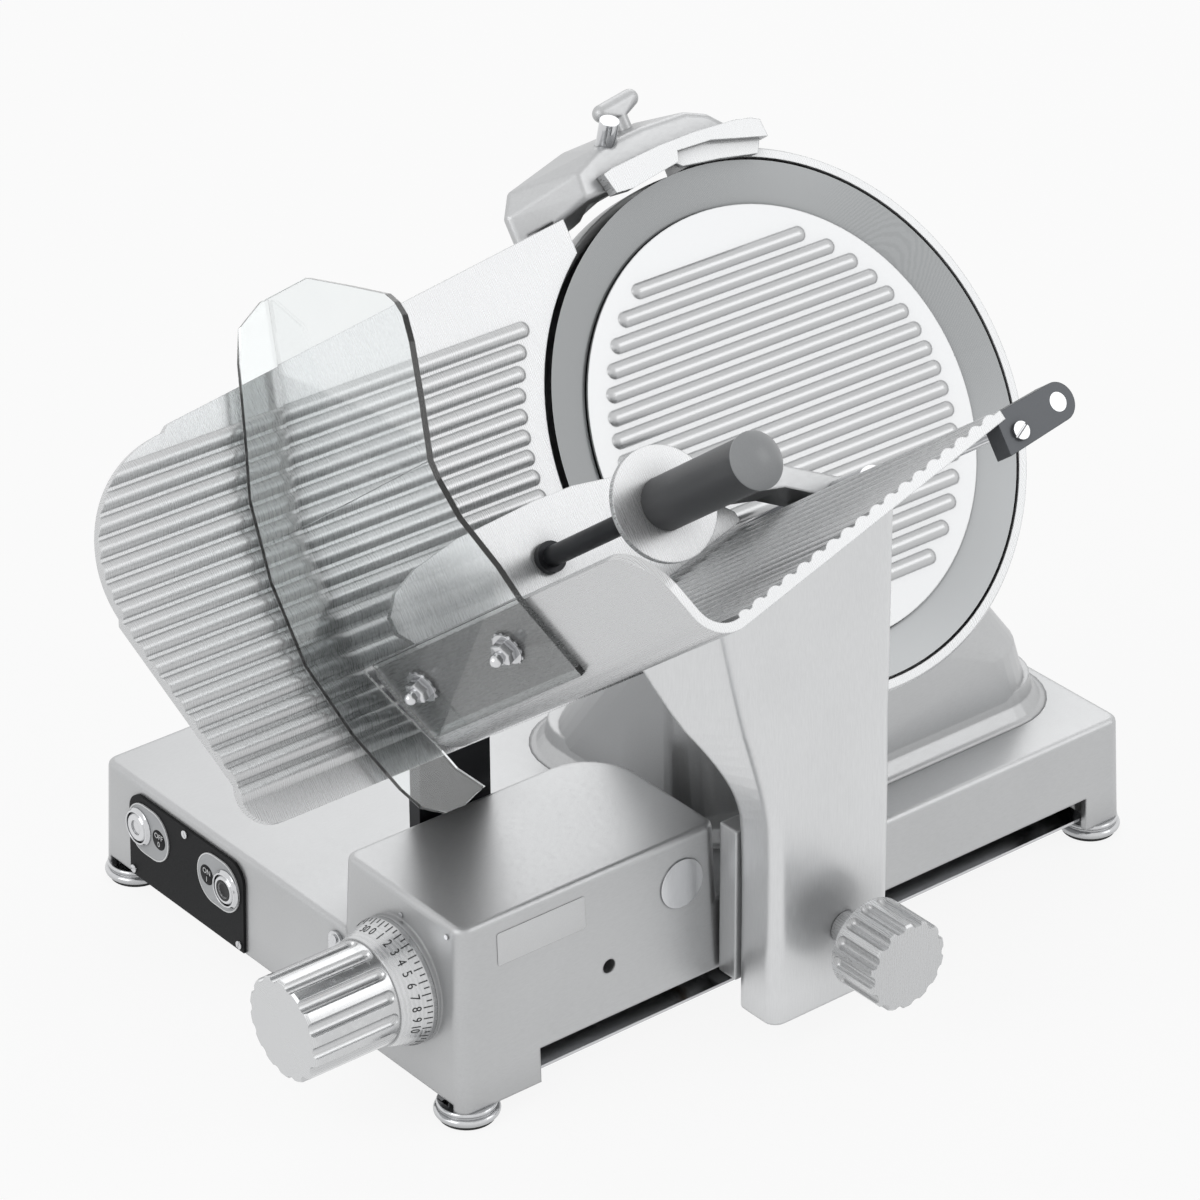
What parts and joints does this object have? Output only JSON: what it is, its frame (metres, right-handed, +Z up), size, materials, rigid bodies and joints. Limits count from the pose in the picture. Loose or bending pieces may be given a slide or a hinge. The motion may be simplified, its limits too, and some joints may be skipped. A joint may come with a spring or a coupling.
{
  "type": "electric food slicer",
  "caption": "Gravity food slicer: tilted disc blade, ribbed gauge plate and tray on a sliding carriage, pusher with grip, clear hand guard and top sharpener.",
  "frame": {"origin": "on the table, in the middle of the front left foot's pad", "axes": "+Z up, the operator's front with the dial faces -Y, the carriage and its arm are on the +X side"},
  "size_m": [0.6332, 0.7383, 0.5554],
  "materials": {
    "cast": "satin cast and brushed aluminium",
    "plate": "bright anodised aluminium",
    "steel": "brushed stainless steel",
    "blade": "fine turned steel",
    "chrome": "polished",
    "panel": "matt black foil",
    "bezel": "light grey print",
    "dark": "moulded black plastic",
    "grip": "dark grey moulded plastic",
    "clear": "clear acrylic",
    "rubber": "black rubber",
    "bronze": "sintered bronze",
    "motor": "dark enamel",
    "board": "moulded case",
    "stone": "bonded abrasive"
  },
  "bodies": {
    "base": {"base_housing": "cast", "bottom_cover": "steel", "feet": "chrome", "foot_pads": "rubber", "switch_panel": "panel", "button_bezels": "bezel", "panel_screws": "chrome", "box_plug": "steel", "index_marks": "steel", "control_board": "board", "cable_gland": "dark", "guide_rod": "chrome", "rod_blocks": "cast", "guide_bar": "steel", "gauge_rail": "steel", "blade_housing": "cast", "motor_housing": "cast", "motor": "motor", "blade_axle": "steel", "axle_bearings": "chrome", "ring_guard": "plate", "drive_belt": "rubber"},
    "blade": {"blade": "blade", "blade_pulley": "cast", "blade_screws": "steel"},
    "rotor": {"motor_shaft": "steel"},
    "cover": {"cover_plate": "plate"},
    "tie": {"tie_rod": "steel", "tie_rod_knob": "dark"},
    "start": {"start_button": "chrome"},
    "stop": {"stop_button": "chrome"},
    "dial": {"dial_knob": "plate", "dial_shaft": "steel", "scroll_cam": "cast"},
    "gauge": {"gauge_plate": "plate", "gauge_post": "dark", "gauge_follower": "steel"},
    "carriage": {"carriage_foot": "dark", "slide_bushes": "bronze", "carriage_arm": "cast", "trough": "plate", "hand_guard": "clear", "guard_studs": "chrome", "end_bracket": "cast", "pusher_rod": "chrome"},
    "lock": {"lock_knob": "plate"},
    "slider": {"slider_collar": "chrome"},
    "pusher": {"pusher_arm": "cast", "pusher_plate": "plate", "pusher_stem": "dark", "guard_disc": "plate", "grip": "grip"},
    "sharpener": {"sharpener_body": "cast", "sharpener_skirt": "plate", "grinding_wheels": "stone"},
    "clamp": {"sharpener_knob": "cast"},
    "plunger": {"push_rod": "chrome"}
  },
  "joints": [
    {"name": "blade_spin", "type": "hinge", "parent": "base", "child": "blade", "pos_m": [0.2847, 0.3304, 0.3477], "axis": [0.7976, 0, 0.6032], "continuous": true},
    {"name": "motor_spin", "type": "hinge", "parent": "base", "child": "rotor", "pos_m": [0.30324, 0.3304, 0.21377], "axis": [0.7976, 0, 0.6032], "continuous": true},
    {"name": "cover_lift", "type": "slide", "parent": "base", "child": "cover", "axis": [0.7976, 0, 0.6032], "range_m": [0, 0.008]},
    {"name": "tie_turn", "type": "hinge", "parent": "base", "child": "tie", "pos_m": [0.23206, 0.3304, 0.30789], "axis": [0.7976, 0, 0.6032], "range_deg": [0, 360]},
    {"name": "start_press", "type": "slide", "parent": "base", "child": "start", "axis": [0, 0.9994, -0.0349], "range_m": [0, 0.0025], "stiffness_N_per_m": 800},
    {"name": "stop_press", "type": "slide", "parent": "base", "child": "stop", "axis": [0, 0.9994, -0.0349], "range_m": [0, 0.0025], "stiffness_N_per_m": 800},
    {"name": "dial_turn", "type": "hinge", "parent": "base", "child": "dial", "pos_m": [0.317, -0.016, 0.083], "axis": [0, -1, 0], "range_deg": [0, 300]},
    {"name": "gauge_slide", "type": "slide", "parent": "base", "child": "gauge", "axis": [-0.7976, 0, -0.6032], "range_m": [0, 0.015]},
    {"name": "carriage_slide", "type": "slide", "parent": "base", "child": "carriage", "axis": [0, 1, 0], "range_m": [-0.15, 0.17]},
    {"name": "lock_turn", "type": "hinge", "parent": "carriage", "child": "lock", "pos_m": [0.437, 0.249, 0.074], "axis": [1, 0, 0], "range_deg": [0, 360]},
    {"name": "pusher_slide", "type": "slide", "parent": "carriage", "child": "slider", "axis": [0.7976, 0, 0.6032], "range_m": [-0.026, 0.15]},
    {"name": "pusher_swing", "type": "hinge", "parent": "slider", "child": "pusher", "pos_m": [0.39267, 0.2794, 0.35413], "axis": [-0.7976, 0, -0.6032], "range_deg": [0, 85]},
    {"name": "sharpener_lift", "type": "slide", "parent": "base", "child": "sharpener", "axis": [-0.6032, 0, 0.7976], "range_m": [0, 0.06]},
    {"name": "clamp_turn", "type": "hinge", "parent": "sharpener", "child": "clamp", "pos_m": [0.13927, 0.3144, 0.50352], "axis": [-0.6032, 0, 0.7976], "range_deg": [0, 360]},
    {"name": "plunger_press", "type": "slide", "parent": "sharpener", "child": "plunger", "axis": [-0.2233, 0, -0.9748], "range_m": [0, 0.006], "stiffness_N_per_m": 500}
  ],
  "couplings": [
    {"joint": "motor_spin", "follows": "blade_spin", "ratio": 3.4375},
    {"joint": "dial_turn", "follows": "gauge_slide", "rad_per_m": 349.07}
  ]
}
